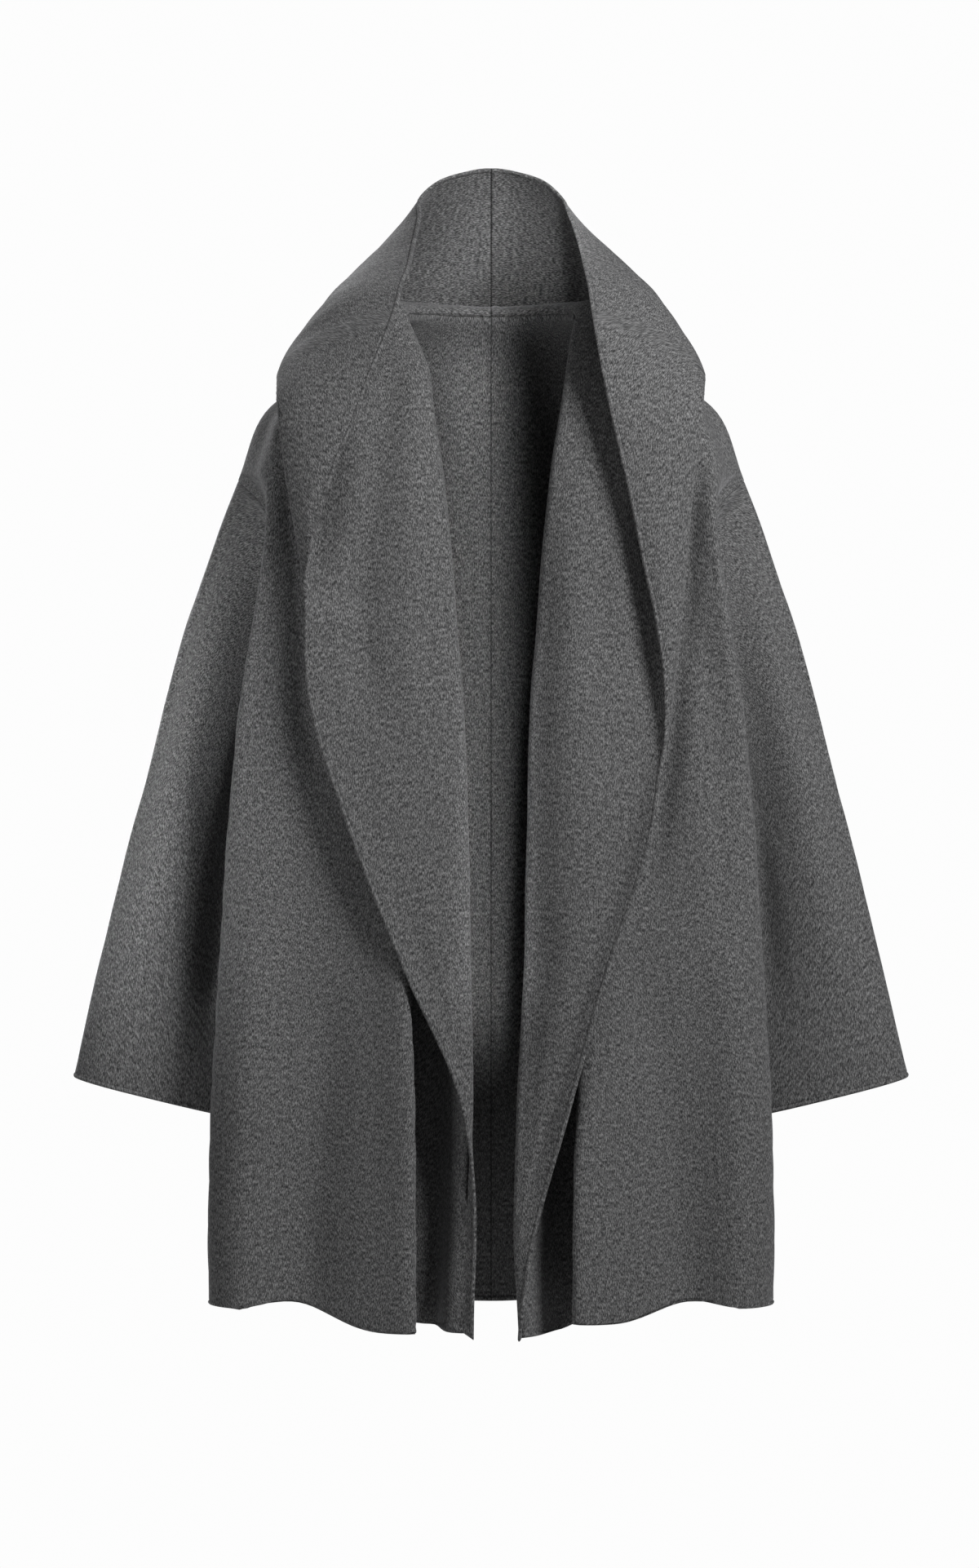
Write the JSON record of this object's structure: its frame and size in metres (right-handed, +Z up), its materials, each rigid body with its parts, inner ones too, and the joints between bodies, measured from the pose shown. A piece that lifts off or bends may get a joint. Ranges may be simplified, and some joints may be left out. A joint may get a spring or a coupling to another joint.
{
  "type": "hooded coat",
  "caption": "Oversized open-front hooded coat in heavy charcoal brushed wool, with a draped hood worn down as a wide cowl and broad dropped sleeves, as a hollow worn form.",
  "frame": {"origin": "centre of the neck opening, level with the neck seam at the centre back", "axes": "+Z up the coat, +X to the right of someone facing its front, +Y from its front to its back"},
  "size_m": [0.8242, 0.2677, 1.1458],
  "materials": {
    "wool": "matt brushed wool with a soft nap"
  },
  "bodies": {
    "root": {"front_hood_right": "wool", "front_hood_left": "wool", "back_right": "wool", "back_left": "wool", "sleeve_right": "wool", "sleeve_left": "wool"}
  },
  "joints": []
}
